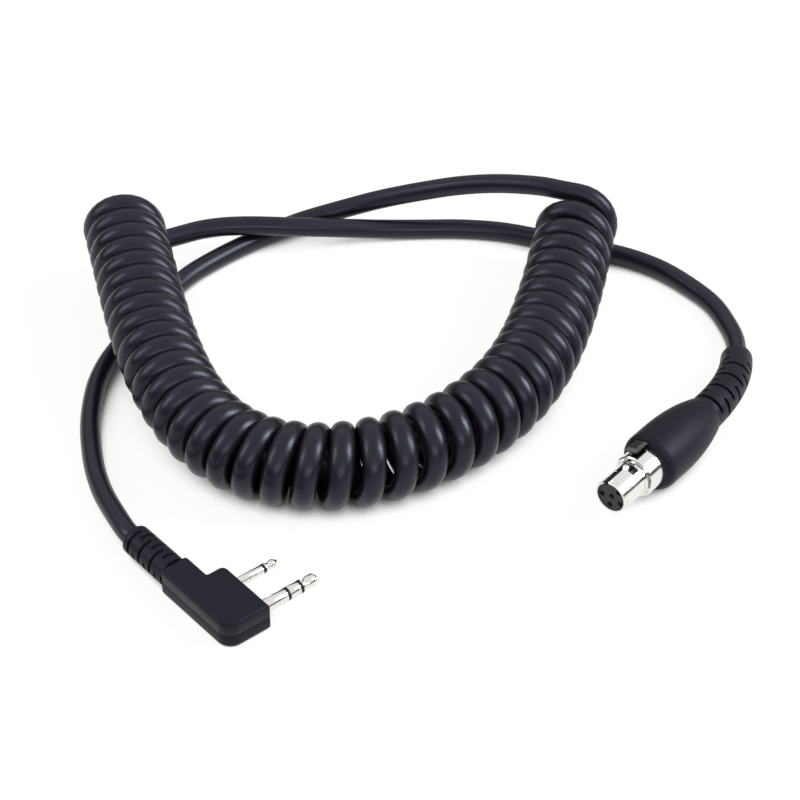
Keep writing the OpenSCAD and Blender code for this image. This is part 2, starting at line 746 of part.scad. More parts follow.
module contact_insert() {
    color("#2f2f31") difference() {
        at_latch() union() {
            rod([insert_front, insert_step], insert_r);
            rod([insert_step, insert_body_end], insert_rear_r);
            intersection() {
                rod([insert_body_end, insert_ears_end], insert_rear_r);
                block(
                    [insert_body_end, insert_ears_end],
                    [-ears_y, ears_y],
                    [channel_floor + ear_floor_gap, insert_rear_r]
                );
            }
        }
        at_latch() {
            block([channel_front, insert_ears_end + cut], channel_y, [channel_floor, insert_rear_r + cut]);
            translate([latch_pin_x, 0, latch_pin_z]) rotate([90, 0, 0])
                cylinder(h = 4 * ears_y, r = latch_pin_r + contact_gap, center = true);
        }
        at_key() block(
            [insert_front - cut, channel_front + cut],
            [-keyway_w / 2, keyway_w / 2],
            [key_floor, insert_r + cut]
        );
        at_latch() each_contact() rod([insert_front - cut, contact_tail + cut], contact_hole_d / 2);
    }
}

module socket_contacts() {
    color("#c8a24a") at_latch() each_contact() difference() {
        rod([contact_front, contact_tail], contact_r);
        rod([contact_front - cut, contact_front + contact_depth], contact_bore_r);
    }
}

module latch_pin() {
    color("#b9babc") at_latch() translate([latch_pin_x, 0, latch_pin_z]) rotate([90, 0, 0])
        cylinder(h = latch_pin_len, r = latch_pin_r, center = true);
}

module latch_lever() {
    color("#bfc0c2") at_latch() difference() {
        union() {
            block([lever_front, latch_pin_x], [-lever_w / 2, lever_w / 2], [lever_top - lever_t, lever_top]);
            translate([latch_pin_x, 0, latch_pin_z]) rotate([90, 0, 0])
                cylinder(h = lever_w, r = eye_r, center = true);
            // Tooth, sloped at the front so that a mating part can push it in
            translate([0, tooth_y[1], 0]) rotate([90, 0, 0])
                linear_extrude(tooth_y[1] - tooth_y[0]) polygon([
                    [tooth_x[0], lever_top - lever_t / 2], [tooth_x[1], lever_top - lever_t / 2],
                    [tooth_x[1], tooth_top], [tooth_x[0] + tooth_slope, tooth_top],
                    [tooth_x[0], nose_bore_r],
                ]);
        }
        translate([latch_pin_x, 0, latch_pin_z]) rotate([90, 0, 0])
            cylinder(h = lever_w + 2 * cut, r = latch_pin_r + running_fit, center = true);
    }
}

module release_button() {
    color("#1d1d20") at_latch() {
        block(shank_x, [-shank_w / 2, shank_w / 2], [lever_top, button_base + cut / 4]);
        hull() {
            block(button_x, [-button_w / 2, button_w / 2], [button_base, button_top - button_round]);
            block(
                [button_x[0] + button_round, button_x[1] - button_round],
                [button_round - button_w / 2, button_w / 2 - button_round], [button_base, button_top]
            );
        }
    }
}

// Radius of the grip at share u of the way from its widest place to its end
function grip_radius(u) = grip_r - (grip_r - grip_tail_r) * pow(u, grip_taper);

module connector_grip() {
    color("#2b2b32") difference() {
        at_connector() turned(concat(
            [[rear_shell_r + seat_fit, grip_front]],
            [for (i = [0 : grip_nose_steps]) let (a = 90 * i / grip_nose_steps)
                [grip_face_r + (grip_r - grip_face_r) * sin(a), grip_front + grip_nose_len * (1 - cos(a))]],
            [for (i = [0 : grip_steps]) let (u = i / grip_steps)
                [grip_radius(u), grip_widest + u * (grip_end - grip_widest)]],
            [
                [boot_bore_r, grip_end], [boot_bore_r, clamp_bore],
                [clamp_r + seat_gap, clamp_bore], [clamp_r + seat_gap, rear_shell_end + seat_gap],
                [rear_shell_r + seat_fit, rear_shell_end + seat_gap],
            ]
        ));
        at_latch() block(
            [grip_front - cut, notch_end],
            [-notch_w / 2, notch_w / 2],
            [rear_shell_r + seat_fit, grip_r + cut]
        );
    }
}

module cord_clamp() {
    color("#9fa1a4") at_connector() tube(clamp_x, clamp_r, cord_r + seat_fit);
}

module connector_wires() {
    color("#4a6a8c") at_latch() {
        core([connector_cord_end, 0, 0], -X, [contact_tail, 0, 0], -X);
        for (a = contact_angles) {
            way = [0, -sin(a), cos(a)];
            core(
                [connector_cord_end, 0, 0] + core_circle_r * way,
                -X / 2,
                [contact_tail, 0, 0] + contact_circle_d / 2 * way,
                -X
            );
        }
    }
}

module at_boot_angle(a) {
    at_connector() translate([grip_end, 0, 0]) rotate([-boot_droop, 0, 0])
        translate([0, boot_r, 0]) rotate([0, 0, a]) translate([0, -boot_r, 0]) children();
}

// Rings of the bent strain relief in its own bend, for radii that run from r0 to r1
function bent_rings(r0, r1, angles, n) = [
    for (a = angles) let (t = a / boot_bend, u = [-sin(a), cos(a), 0])
        ring([boot_r * sin(a), boot_r * (1 - cos(a)), 0], u, Z, r0 + (r1 - r0) * t, n)
];

module connector_boot() {
    chamfer_angle = boot_bend * boot_chamfer / boot_len;
    body_angles = [for (i = [0 : boot_rings]) (boot_bend - chamfer_angle) * i / boot_rings];
    bore_angles = concat([-1], [for (i = [0 : 3 : boot_rings]) boot_angles[i]], [boot_bend + 1]);
    end_ring = ring(
        [boot_r * sin(boot_bend), boot_r * (1 - cos(boot_bend)), 0],
        [-sin(boot_bend), cos(boot_bend), 0], Z, boot_end_d / 2 - boot_chamfer, boot_sides
    );
    color("#2b2b32") difference() {
        at_boot_angle(0)
            skin(concat(bent_rings(boot_d / 2, boot_end_d / 2, body_angles, boot_sides), [end_ring]));
        at_boot_angle(0) skin(bent_rings(boot_bore_r, boot_bore_r, bore_angles, boot_sides));
        for (i = [0 : boot_slots - 1])
            at_boot_angle(boot_bend * (boot_slot_first + i * boot_slot_step) / boot_len)
                slot_ring(boot_d / 2 + cut, boot_slot_roll + (i % 2) * 90, boot_slot_bridge);
    }
}

plug_body();
plug_boot();
pin_frame();
plug_wires();
big_jack_sleeve();
big_jack_ring();
big_jack_tip();
big_jack_insulators();
small_jack_sleeve();
small_jack_tip();
small_jack_insulator();
plug_lead();
coil();
connector_lead();
connector_boot();
connector_grip();
cord_clamp();
connector_wires();
rear_shell();
nose_shell();
contact_insert();
socket_contacts();
latch_pin();
latch_lever();
release_button();
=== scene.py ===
"""Coiled adapter cord with a two-pin plug and a locking cable connector, dressed for rendering."""

import bisect
import math

import bmesh
import bpy
from mathutils import Matrix, Vector


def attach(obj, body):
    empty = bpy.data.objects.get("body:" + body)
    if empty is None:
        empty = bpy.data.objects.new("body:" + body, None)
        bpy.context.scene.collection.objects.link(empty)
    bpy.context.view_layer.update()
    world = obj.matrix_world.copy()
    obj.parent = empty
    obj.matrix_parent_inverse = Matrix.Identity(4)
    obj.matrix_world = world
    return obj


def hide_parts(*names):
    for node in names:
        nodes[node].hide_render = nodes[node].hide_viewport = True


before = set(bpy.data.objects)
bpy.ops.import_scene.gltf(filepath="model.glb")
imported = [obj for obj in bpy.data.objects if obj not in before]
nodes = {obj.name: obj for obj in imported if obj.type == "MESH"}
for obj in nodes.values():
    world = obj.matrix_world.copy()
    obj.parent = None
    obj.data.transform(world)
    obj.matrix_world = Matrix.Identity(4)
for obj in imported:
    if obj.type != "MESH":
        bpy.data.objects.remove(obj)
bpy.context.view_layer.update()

MM = 0.001
UP = Vector((0, 0, 1))
scene = bpy.context.scene

# ---- camera ----

LOOK_AT = Vector((-0.013, 0.0409, 0.0))
CAMERA_AT = Vector((-0.013, -0.5384, 0.4776))

camera = bpy.data.objects.new("camera", bpy.data.cameras.new("camera"))
camera.data.lens = 125
camera.data.sensor_width = 36
camera.data.clip_start = 0.01
camera.location = CAMERA_AT
camera.rotation_euler = (LOOK_AT - CAMERA_AT).to_track_quat("-Z", "Y").to_euler()
scene.collection.objects.link(camera)
scene.camera = camera

# ---- sizes, in millimetres ----

CORD_D = 5.5
COIL_D = 22.9
COIL_TURNS = 39.5
LEFT_LIFT = 6
RIGHT_LIFT = 4.1
LEFT_FLAT = (0.2, 0.45)
RIGHT_FLAT = (0.6, 0.95)
PITCH_WAVES = (-0.028, -0.011, 0.045, 0.09, -0.078)
AXIS_CTRL = [
    (-104.8, 153.8), (-89.9, 94.2), (-82.7, 59.1), (-69.5, 10.7), (-29.8, -7),
    (14, 19.9), (29.7, 56.8), (37.3, 102.8), (46.9, 150.4),
]
AXIS_SAMPLES = 160
END_SPREAD = 2.5
END_SPREAD_FROM = 0.95
AXIS_STEP = 0.002
POINTS_PER_TURN = 28

# Plug, measured from the middle of its pin face: x out along the pins, y towards the cord
PLUG_AT = Vector((-50.6, -40.1, 0))
PLUG_TURN = 39.7
PLUG_H = 8
PIN_SPACING = 11
PIN_Z = PLUG_H / 2
HEAD_BEYOND_BIG = 3.9
HEAD_BEYOND_SMALL = 4.1
HEAD_Y = (-PIN_SPACING / 2 - HEAD_BEYOND_BIG, PIN_SPACING / 2 + HEAD_BEYOND_SMALL)
HEAD_DEPTH = 13.4
ARM_W = 8.2
ARM_LEN = 8.7
ARM_END = HEAD_Y[1] + ARM_LEN
PLUG_BOOT_LEN = 16.6
PLUG_BOOT_D = 8.3
PLUG_BOOT_END_D = 8.1
PLUG_BOOT_END = ARM_END + PLUG_BOOT_LEN
BOOT_X = ARM_W / 2 - HEAD_DEPTH
BOOT_LIFT = 0.1
BOOT_Z = PLUG_BOOT_D / 2 + BOOT_LIFT
CORD_HOLD = 3.3
PLUG_CORD_END = ARM_END - CORD_HOLD
EDGE_R = 1.1

BIG_PIN_R = 1.75
SMALL_PIN_R = 1.25
BIG_PIN_LEN = 17.3
SMALL_PIN_LEN = 13.2
BIG_TIP_LEN = 5.9
BIG_RING_LEN = 9.9
SMALL_TIP_LEN = 4.7
INSULATOR_W = 0.8
COLLAR_OUT = 0.2
SLEEVE_TAIL = -6.8

# Connector, measured from the middle of its nose face: x runs back along its axis
GRIP_D = 16.2
NOSE_AT = Vector((40.64, -7.92, GRIP_D / 2))
CONNECTOR_TURN = 51
LATCH_ROLL = 15
NOSE_LEN = 10.2
REAR_SHELL_D = 11.8
REAR_SHELL_LEN = 17.8
REAR_SHELL_SHOW = 5.6
REAR_SHELL_END = NOSE_LEN + REAR_SHELL_LEN
GRIP_FRONT = NOSE_LEN + REAR_SHELL_SHOW
GRIP_LEN = 25.9
GRIP_END = GRIP_FRONT + GRIP_LEN
GRIP_FRONT_TO_WIDEST = 7
GRIP_WIDEST = GRIP_FRONT + GRIP_FRONT_TO_WIDEST
GRIP_NOSE_LEN = 2.6
GRIP_NOSE_RISE = 1.7
GRIP_FACE_R = GRIP_D / 2 - GRIP_NOSE_RISE
GRIP_TAIL_D = 10.8
GRIP_TAPER = 2.36
NOTCH_W = 4.8
BUTTON_BEHIND_NOSE = 0.8
BUTTON_LEN = 5
BUTTON_GAP = 0.5
NOTCH_END = NOSE_LEN + BUTTON_BEHIND_NOSE + BUTTON_LEN + BUTTON_GAP
CONNECTOR_BOOT_LEN = 32
CONNECTOR_BOOT_BEND = 36
CONNECTOR_BOOT_D = 10.1
CONNECTOR_BOOT_END_D = 8.7
BOOT_DROOP = 22.5
CLAMP_BEHIND_SHELL = 3.5
CORD_BEYOND_CLAMP = 1
CONNECTOR_CORD_END = REAR_SHELL_END + CLAMP_BEHIND_SHELL - CORD_BEYOND_CLAMP


def turned(point, degrees):
    """The point turned about the z axis."""
    return Matrix.Rotation(math.radians(degrees), 3, "Z") @ Vector(point)


def from_plug(point):
    """Place of a point that is given from the plug."""
    return PLUG_AT + turned(point, PLUG_TURN)


def from_nose(point):
    """Place of a point that is given from the connector's nose."""
    return NOSE_AT + turned(point, CONNECTOR_TURN)


# ---- the cord's route ----


def smooth(x):
    """Step from 0 to 1 with soft ends."""
    x = min(1, max(0, x))
    return x * x * (3 - 2 * x)


def axis_at(u):
    """Point of the coil's axis on its cubic B-spline, seen from above."""
    i = min(int(u), len(AXIS_CTRL) - 4)
    f = u - i
    weights = ((1 - f) ** 3, 3 * f ** 3 - 6 * f * f + 4, 3 * f * (1 + f - f * f) + 1, f ** 3)
    return sum((w / 6 * Vector((*AXIS_CTRL[i + k], 0)) for k, w in enumerate(weights)), Vector())


axis_spans = len(AXIS_CTRL) - 3
axis_steps = [axis_spans * i / AXIS_SAMPLES for i in range(AXIS_SAMPLES + 1)]
axis_run = [0.0]
for before, after in zip(axis_steps, axis_steps[1:]):
    axis_run.append(axis_run[-1] + (axis_at(after) - axis_at(before)).length)
coil_len = axis_run[-1] - END_SPREAD


def axis_point(t):
    """Middle of the coil where share t of its turns is behind."""
    run = coil_len * (t + sum(
        swing * math.sin(math.pi * m * t) / (math.pi * m) for m, swing in enumerate(PITCH_WAVES, 1)
    )) + END_SPREAD * smooth((t - END_SPREAD_FROM) / (1 - END_SPREAD_FROM))
    i = min(max(bisect.bisect(axis_run, run) - 1, 0), AXIS_SAMPLES - 1)
    share = (run - axis_run[i]) / (axis_run[i + 1] - axis_run[i])
    u = axis_steps[i] + (axis_steps[i + 1] - axis_steps[i]) * share
    height = (
        COIL_D / 2
        + LEFT_LIFT * (1 - smooth((t - LEFT_FLAT[0]) / (LEFT_FLAT[1] - LEFT_FLAT[0])))
        + RIGHT_LIFT * smooth((t - RIGHT_FLAT[0]) / (RIGHT_FLAT[1] - RIGHT_FLAT[0]))
    )
    return axis_at(u) + height * UP


def coil_point(t):
    """Middle of the cord in the coil where share t of its turns is behind."""
    ahead = axis_point(min(1, t + AXIS_STEP)) - axis_point(max(0, t - AXIS_STEP))
    side = UP.cross(ahead).normalized()
    phase = math.radians(-90 - 360 * COIL_TURNS * t)
    return axis_point(t) + (COIL_D - CORD_D) / 2 * (math.cos(phase) * side + math.sin(phase) * UP)


# A step this share of a turn long gives the way in which the cord leaves the coil
EXIT_STEP = 1 / 800
nudge = EXIT_STEP / COIL_TURNS
left_out = (coil_point(0) - coil_point(nudge)).normalized()
right_out = (coil_point(1) - coil_point(1 - nudge)).normalized()
left_exit = coil_point(0) + CORD_D * left_out
right_exit = coil_point(1) + CORD_D * right_out

PLUG_ROUTE = [
    (15.5, 111.4, 21.8), (4.5, 114.9, 18.7), (-7, 117.9, 14.5), (-19, 119.9, 10.2), (-30.5, 119.9, 6.5),
    (-42.5, 117.9, 3.6), (-52, 112.4, 2.75), (-58, 107.8, 2.75), (-65, 101.7, 2.75), (-72.5, 93.9, 2.75),
    (-78, 85.4, 2.75), (-83, 75.9, 2.75), (-88.5, 64.4, 2.75), (-92.6, 54.4, 2.75), (-94.8, 45.4, 2.75),
    (-95.5, 35.9, 2.75), (-95.3, 26.9, 2.75), (-94.2, 17.9, 2.75), (-92.5, 8.9, 2.85), (-89.8, -0.1, 3.2),
    (-86.2, -8.5, 3.8),
]
CONNECTOR_ROUTE = [
    (-76, 104.5, 8.6), (-70.3, 107.1, 8.6), (-64.6, 108.5, 8.65), (-58.9, 109, 8.7), (-53.2, 109.1, 8.65),
    (-42.4, 110.1, 7.5), (-30.7, 112.2, 5.6), (-19, 114.5, 3.6), (-7, 115.7, 2.75), (4.5, 115.8, 2.75),
    (16, 114.5, 2.75), (27, 111.2, 2.75), (38.5, 106.5, 2.75), (50, 102.9, 2.75), (60.5, 96.6, 2.75),
    (68.5, 88.4, 2.75), (74.5, 79.9, 2.75), (77.8, 70.9, 2.8), (79.3, 63.1, 3.1),
]
BOOT_R = CONNECTOR_BOOT_LEN / math.radians(CONNECTOR_BOOT_BEND)


def boot_point(degrees):
    """Middle of the connector's strain relief after it has bent through an angle."""
    a = math.radians(degrees)
    droop = math.radians(BOOT_DROOP)
    rise = BOOT_R * (1 - math.cos(a))
    return Vector((GRIP_END + BOOT_R * math.sin(a), rise * math.cos(droop), -rise * math.sin(droop)))


def through(points, steps):
    """Catmull-Rom curve through the points, with a number of steps between each two."""
    ends = [2 * points[0] - points[1], *points, 2 * points[-1] - points[-2]]
    curve = []
    for a, b, c, d in zip(ends, ends[1:], ends[2:], ends[3:]):
        knots = [0.0]
        for p, q in ((a, b), (b, c), (c, d)):
            knots.append(knots[-1] + math.sqrt((q - p).length))
        for i in range(steps):
            t = knots[1] + (knots[2] - knots[1]) * i / steps
            ab = a.lerp(b, (t - knots[0]) / (knots[1] - knots[0]))
            bc = b.lerp(c, (t - knots[1]) / (knots[2] - knots[1]))
            cd = c.lerp(d, (t - knots[2]) / (knots[3] - knots[2]))
            abc = ab.lerp(bc, (t - knots[0]) / (knots[2] - knots[0]))
            bcd = bc.lerp(cd, (t - knots[1]) / (knots[3] - knots[1]))
            curve.append(abc.lerp(bcd, (t - knots[1]) / (knots[2] - knots[1])))
    return curve + [points[-1]]


plug_end_places = (PLUG_BOOT_END + CORD_D / 2, PLUG_BOOT_END, ARM_END, PLUG_CORD_END)
plug_end = [from_plug((BOOT_X, y, BOOT_Z)) for y in plug_end_places]
connector_end = [from_nose(boot_point(CONNECTOR_BOOT_BEND * k / 4)) for k in (4, 3, 2, 1, 0)]
connector_end.append(from_nose((CONNECTOR_CORD_END, 0, 0)))
plug_lead = [right_exit, right_exit + CORD_D * right_out, *map(Vector, PLUG_ROUTE), *plug_end]
connector_lead = [left_exit, left_exit + CORD_D * left_out, *map(Vector, CONNECTOR_ROUTE), *connector_end]
# Points between each two of a lead's route
LEAD_STEPS = 5
coil_count = int(COIL_TURNS * POINTS_PER_TURN)
route = (
    through(plug_lead, LEAD_STEPS)[::-1]
    + [coil_point(1 - i / coil_count) for i in range(coil_count + 1)]
    + through(connector_lead, LEAD_STEPS)
)

# ---- materials ----


def linear(code):
    """sRGB hex code as a linear colour with alpha."""
    parts = [int(code[i:i + 2], 16) / 255 for i in (1, 3, 5)]
    return (*[c / 12.92 if c <= 0.04045 else ((c + 0.055) / 1.055) ** 2.4 for c in parts], 1)


def add(tree, kind, links=(), **settings):
    """Adds a node; links maps its input sockets to values or to other nodes' outputs."""
    node = tree.nodes.new("ShaderNode" + kind)
    for name, value in settings.items():
        setattr(node, name, value)
    for socket, value in dict(links).items():
        if isinstance(value, bpy.types.NodeSocket):
            tree.links.new(value, node.inputs[socket])
        else:
            node.inputs[socket].default_value = value
    return node


def new_material(name):
    """Empty material and its node tree."""
    material = bpy.data.materials.new(name)
    material.use_nodes = True
    material.node_tree.nodes.clear()
    return material, material.node_tree


def per_mm(size):
    """Texture scale at which one feature is this many millimetres wide."""
    return 1 / (size * MM)


def black_plastic(name, dark, pale, roughness, sheen_tint, grain_mm, grain_depth, patch_mm):
    """Moulded or extruded black plastic: a fine grain breaks up its soft gloss, in faintly uneven patches."""
    material, tree = new_material(name)
    place = add(tree, "TexCoord").outputs["Object"]
    patch = add(tree, "TexNoise", {
        "Vector": place, "Scale": per_mm(patch_mm), "Detail": 4.0, "Roughness": 0.6,
    })
    grain = add(tree, "TexNoise", {
        "Vector": place, "Scale": per_mm(grain_mm), "Detail": 3.0, "Roughness": 0.55,
    })
    colour = add(tree, "Mix", {
        "Factor": patch.outputs["Fac"], "A": linear(dark), "B": linear(pale),
    }, data_type="RGBA")
    gloss = add(tree, "MapRange", {
        "Value": patch.outputs["Fac"], "From Min": 0.3, "From Max": 0.7,
        "To Min": roughness - 0.05, "To Max": roughness + 0.05,
    })
    bump = add(tree, "Bump", {"Height": grain.outputs["Fac"], "Strength": 0.6, "Distance": grain_depth * MM})
    shader = add(tree, "BsdfPrincipled", {
        "Base Color": colour.outputs["Result"], "Roughness": gloss.outputs["Result"],
        "Specular Tint": sheen_tint, "IOR": 1.42, "Normal": bump.outputs["Normal"],
    })
    add(tree, "OutputMaterial", {"Surface": shader.outputs["BSDF"]})
    return material


def plated_metal(name, tint, shade, roughness):
    """Bright plating over turned brass: an even mirror with faint clouding."""
    material, tree = new_material(name)
    place = add(tree, "TexCoord").outputs["Object"]
    cloud = add(tree, "TexNoise", {"Vector": place, "Scale": per_mm(2.5), "Detail": 5.0, "Roughness": 0.6})
    colour = add(tree, "Mix", {
        "Factor": cloud.outputs["Fac"], "A": linear(tint), "B": linear(shade),
    }, data_type="RGBA")
    gloss = add(tree, "MapRange", {
        "Value": cloud.outputs["Fac"], "From Min": 0.3, "From Max": 0.7,
        "To Min": roughness - 0.03, "To Max": roughness + 0.04,
    })
    shader = add(tree, "BsdfPrincipled", {
        "Base Color": colour.outputs["Result"], "Roughness": gloss.outputs["Result"], "Metallic": 1.0,
    })
    add(tree, "OutputMaterial", {"Surface": shader.outputs["BSDF"]})
    return material


# Bluish-black plastics return a weak bluish gloss; the plainer ones return it uncoloured
BLUE_SILK = (0.76, 0.79, 1.0, 1)
BLUE_MATT = (0.38, 0.4, 0.55, 1)
PLAIN = (0.8, 0.8, 0.8, 1)
# Extruded jacket of a curly cord: bluish black, smooth, with a soft silky sheen along each turn
jacket = black_plastic("extruded_polyurethane", "#101117", "#15161f", 0.33, BLUE_SILK, 0.35, 0.012, 14)
# Moulded plug, grip and strain reliefs: the same black, matter and finely grained
moulded = black_plastic("moulded_pvc", "#0e0f14", "#13141b", 0.5, BLUE_MATT, 0.3, 0.035, 9)
# Insert and pin frame: dark grey, dull, a little lighter than the mouldings
glass_nylon = black_plastic("glass_filled_nylon", "#2e2e30", "#38383a", 0.55, PLAIN, 0.15, 0.02, 3)
# Insulating rings of the pins: deep black against the metal
black_nylon = black_plastic("turned_black_nylon", "#08080a", "#0c0c0e", 0.4, PLAIN, 0.2, 0.01, 3)
# Release button: black with small crisp highlights
gloss_abs = black_plastic("polished_abs", "#0a0a0c", "#0f0f12", 0.22, PLAIN, 0.3, 0.01, 3)
# Sheaths of the cores, hidden inside
core_pvc = black_plastic("core_pvc", "#7d2a2a", "#8d3030", 0.5, PLAIN, 0.3, 0.01, 3)
# Jack pins and shells: bright nickel, nearly a mirror
nickel_pin = plated_metal("nickel_plated_pin", "#f1eeea", "#e2dfdb", 0.14)
nickel_shell = plated_metal("nickel_plated_shell", "#f3f1ee", "#e6e4e0", 0.16)
# Sockets deep in the insert
gold_contact = plated_metal("gold_plated_contact", "#c9a45a", "#b8924a", 0.25)
# Latch lever and its pin
spring_steel = plated_metal("spring_steel", "#dededd", "#cdcdcc", 0.2)


def dress(node, material):
    """Gives every slot of a carried-over node the material."""
    mesh = nodes[node].data
    if not mesh.materials:
        mesh.materials.append(material)
    for i in range(len(nodes[node].material_slots)):
        nodes[node].material_slots[i].material = material


for node in ("nose_shell", "rear_shell", "cord_clamp"):
    dress(node, nickel_shell)
for node in ("big_jack_insulators", "small_jack_insulator"):
    dress(node, black_nylon)
for node in ("latch_lever", "latch_pin"):
    dress(node, spring_steel)
for node in ("plug_wires", "connector_wires"):
    dress(node, core_pvc)
dress("contact_insert", glass_nylon)
dress("pin_frame", glass_nylon)
dress("socket_contacts", gold_contact)
dress("release_button", gloss_abs)

# ---- shapes ----


def new_piece(name, mesh_data, material, slot_name, *replaced, body="root"):
    """Object from a mesh under construction, attached to its body, with the nodes it stands for hidden;
    slot_name is not used.
    """
    mesh = bpy.data.meshes.new(name)
    mesh_data.to_mesh(mesh)
    mesh_data.free()
    mesh.materials.append(material)
    piece = bpy.data.objects.new(name, mesh)
    scene.collection.objects.link(piece)
    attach(piece, body)
    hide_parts(*replaced)
    return piece


# Edges that turn by more than this many degrees stay crisp
SHARP = 35
PIN_SIDES = 96


def skin(rings, closed=False):
    """Mesh through rings of equally many points in millimetres, capped at both ends or closed on itself."""
    mesh = bmesh.new()
    rows = [[mesh.verts.new(point * MM) for point in ring] for ring in rings]
    for low, high in zip(rows, rows[1:] + rows[:1] if closed else rows[1:]):
        for j in range(len(low)):
            k = (j + 1) % len(low)
            mesh.faces.new((low[j], low[k], high[k], high[j]))
    for face in mesh.faces:
        face.smooth = True
    if not closed:
        caps = [mesh.faces.new(rows[0][::-1]), mesh.faces.new(rows[-1])]
        mesh.normal_update()
        bmesh.ops.triangulate(mesh, faces=caps, ngon_method="EAR_CLIP")
    bmesh.ops.recalc_face_normals(mesh, faces=mesh.faces)
    for edge in mesh.edges:
        edge.smooth = edge.calc_face_angle(math.pi) < math.radians(SHARP)
    return mesh


def lathe(profile, place):
    """Rings round the x axis, from points of place along x and radius."""
    turns = [2 * math.pi * j / PIN_SIDES for j in range(PIN_SIDES)]
    return [[place((x, r * math.cos(a), r * math.sin(a))) for a in turns] for x, r in profile]


# ---- cord ----

CORD_SIDES = 24
# Pressed together in the coil, the jacket is this much wider than round along the coil's axis
COIL_WIDEN = 0.95
# Points of the route over which it widens at either end of the coil
WIDEN_OVER = 12
lead_count = LEAD_STEPS * (len(plug_lead) - 1) + 1


def coil_widening(i):
    """How much wider the cord is at a point of its route, and in which direction."""
    t = min(1, max(0, 1 - (i - lead_count) / coil_count))
    inside = min(i - lead_count, lead_count + coil_count - i)
    along = (axis_point(min(1, t + AXIS_STEP)) - axis_point(max(0, t - AXIS_STEP))).normalized()
    return COIL_WIDEN * smooth(inside / WIDEN_OVER), along


def cord_rings(points):
    """Rings along the cord's route, each carried on from the last without twist, and widened in the coil."""
    rings = []
    side = UP.cross(points[1] - points[0]).normalized()
    for i, point in enumerate(points):
        ahead = (points[min(i + 1, len(points) - 1)] - points[max(i - 1, 0)]).normalized()
        side = (side - side.dot(ahead) * ahead).normalized()
        over = ahead.cross(side)
        extra, along = coil_widening(i)
        ring = []
        for j in range(CORD_SIDES):
            a = 2 * math.pi * j / CORD_SIDES
            offset = CORD_D / 2 * (math.cos(a) * side + math.sin(a) * over)
            ring.append(point + offset + extra / CORD_D * offset.dot(along) * along)
        rings.append(ring)
    return rings


cord = new_piece(
    "cord", skin(cord_rings(route)), jacket, "cord_jacket", "plug_lead", "coil", "connector_lead",
)

# ---- plug ----

# Plug outline, seen from above: corners anticlockwise and their radii
ARM_X = (-HEAD_DEPTH, ARM_W - HEAD_DEPTH)
PLUG_CORNERS = [
    (ARM_X[0], HEAD_Y[0]), (0, HEAD_Y[0]), (0, HEAD_Y[1]),
    (ARM_X[1], HEAD_Y[1]), (ARM_X[1], ARM_END), (ARM_X[0], ARM_END),
]
CORNER_R = (4, 0.5, 1.7, 0.4, 1, 1)
LEAST_CORNER = 0.1
CORNER_STEPS = 12


def plug_outline(inset):
    """Outline set in by a distance, its corners rounded about the centres they have at full size."""
    count = len(PLUG_CORNERS)
    corners = [Vector(c) for c in PLUG_CORNERS]
    inward = []
    for i in range(count):
        along = (corners[(i + 1) % count] - corners[i]).normalized()
        inward.append(Vector((-along.y, along.x)))
    outline = []
    for i, corner in enumerate(corners):
        a, b = inward[i - 1], inward[i]
        convex = a.x * b.y - a.y * b.x > 0
        radius = max(LEAST_CORNER, CORNER_R[i] - inset) if convex else -CORNER_R[i] - inset
        centre = corner + (inset + radius) * (a + b) / (1 + a.dot(b))
        start = math.atan2(-a.y, -a.x)
        sweep = math.pi / 2 if convex else -math.pi / 2
        for k in range(CORNER_STEPS + 1):
            angle = start + sweep * k / CORNER_STEPS
            outline.append(centre + radius * Vector((math.cos(angle), math.sin(angle))))
    return outline


def plug_layer(inset, z):
    """Ring of the plug at a height, set in from its outline."""
    return [from_plug((p.x, p.y, z)) for p in plug_outline(inset)]


EDGE_STEPS = 8
# Groove of the mould's parting line: how far in, and how far above the plug's middle
PART_LINE = ((0, -0.3), (0.12, -0.04), (0.12, 0.04), (0, 0.3))
edge = []
for k in range(EDGE_STEPS + 1):
    angle = math.pi / 2 * k / EDGE_STEPS
    edge.append((EDGE_R * (1 - math.cos(angle)), EDGE_R * (1 - math.sin(angle))))
layers = [plug_layer(inset, z) for inset, z in reversed(edge)]
layers += [plug_layer(inset, PIN_Z + z) for inset, z in PART_LINE]
layers += [plug_layer(inset, PLUG_H - z) for inset, z in edge]
new_piece("plug_moulding", skin(layers), moulded, "moulding", "plug_body")

# Jack pins: every contact and insulator is turned, with its own small edge rounding
EDGE = 0.06
NECK_R = 0.8
TAIL_BORE_R = 0.82
# A tip's land, its waist and its head, as runs from the tip's back and shares of its radius
TIP_LAND = 0.35
TIP_WAIST = ((0.9, 0.76), (1.1, 0.72), (1.3, 0.74))
HEAD_AT = 2
HEAD_SHARE = 0.97
HEAD_EDGE_SHARE = 0.95
CONE_LEN = 1.2
CONE_END_SHARE = 0.47
POINT_SHARE = 0.4


def on_pin(side):
    """Places points that are given from the middle of a pin's foot; side is -1 for the big pin."""
    return lambda point: from_plug((point[0], side * PIN_SPACING / 2 + point[1], PIN_Z + point[2]))


def turned_band(back, front, radius):
    """Profile of a short cylinder on the neck, with its edges rounded."""
    return [
        (back, NECK_R), (back, radius - EDGE), (back + EDGE / 3, radius - EDGE / 3),
        (back + EDGE, radius), (front - EDGE, radius), (front - EDGE / 3, radius - EDGE / 3),
        (front, radius - EDGE), (front, NECK_R),
    ]


def sleeve_profile(radius, front):
    """Profile of a sleeve: its tail and collar inside the plug, then the barrel up to its front."""
    collar = radius + COLLAR_OUT
    inside = [(SLEEVE_TAIL, TAIL_BORE_R), (SLEEVE_TAIL, collar), (0, collar)]
    return inside + turned_band(0, front, radius)[1:]


